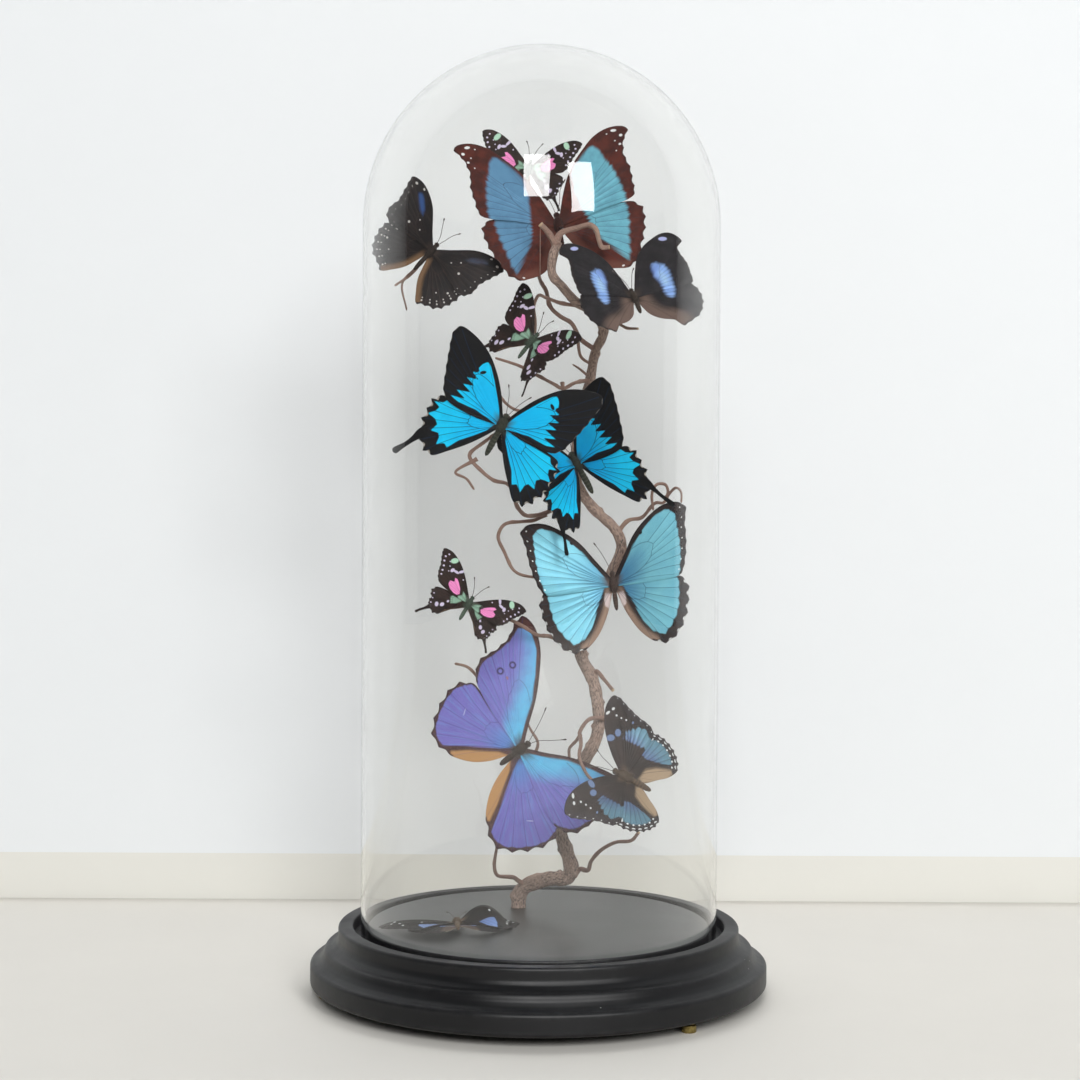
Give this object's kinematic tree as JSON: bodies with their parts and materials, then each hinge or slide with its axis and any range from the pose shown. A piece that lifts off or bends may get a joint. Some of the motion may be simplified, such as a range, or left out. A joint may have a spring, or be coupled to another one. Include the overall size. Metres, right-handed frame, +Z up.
{
  "type": "butterfly display in a glass dome",
  "caption": "Tall clear glass dome on a round black moulded wooden base, holding mounted butterflies on a twisted dry branch.",
  "frame": {"origin": "under the centre of the base, at the level of the feet's undersides", "axes": "+Z up along the dome's axis, front towards -Y, +X to the right seen from the front"},
  "size_m": [0.3, 0.3, 0.6196],
  "materials": {
    "black_wood": "satin black paint with thin worn edges",
    "brass": "dull brass",
    "clear_glass": "clear blown glass",
    "bark": "dry greyish brown bark",
    "banded_morpho_scales": "reddish brown wing scales with a sky-blue band",
    "swordtail_scales": "dark brown wing scales with mint and pink spots",
    "brown_nymph_scales": "dark brown wing scales with tan inner margins",
    "hook_tip_scales": "dark grey-brown wing scales with blue patches",
    "ulysses_scales": "metallic blue wing scales with black borders",
    "sky_morpho_scales": "pearly sky-blue wing scales with brown borders",
    "violet_morpho_scales": "violet-blue sheen with ochre inner margins",
    "charaxes_scales": "dark brown wing scales with a pale blue band"
  },
  "bodies": {
    "root": {"base": "black_wood", "foot_1": "brass", "foot_2": "brass", "foot_3": "brass", "glass_dome": "clear_glass", "branch_foot": "bark", "branch_lower_stem": "bark", "branch_middle_stem": "bark", "branch_upper_stem": "bark", "branch_top_stem": "bark", "branch_top_fork": "bark", "twig_low_right": "bark", "twig_low_left": "bark", "twig_side_stub": "bark", "twig_to_charaxes": "bark", "twig_to_violet_morpho": "bark", "twig_to_left_swordtail": "bark", "twig_right_curls": "bark", "twig_left": "bark", "twig_to_middle_swordtail": "bark", "twig_behind_top": "bark", "twig_across": "bark", "twig_to_hook_tip": "bark", "butterfly_banded_morpho": "banded_morpho_scales", "butterfly_top_swordtail": "swordtail_scales", "butterfly_brown_nymph": "brown_nymph_scales", "butterfly_hook_tip": "hook_tip_scales", "butterfly_middle_swordtail": "swordtail_scales", "butterfly_front_ulysses": "ulysses_scales", "butterfly_back_ulysses": "ulysses_scales", "butterfly_sky_morpho": "sky_morpho_scales", "butterfly_left_swordtail": "swordtail_scales", "butterfly_violet_morpho": "violet_morpho_scales", "butterfly_charaxes": "charaxes_scales", "butterfly_floor_charaxes": "charaxes_scales"}
  },
  "joints": []
}
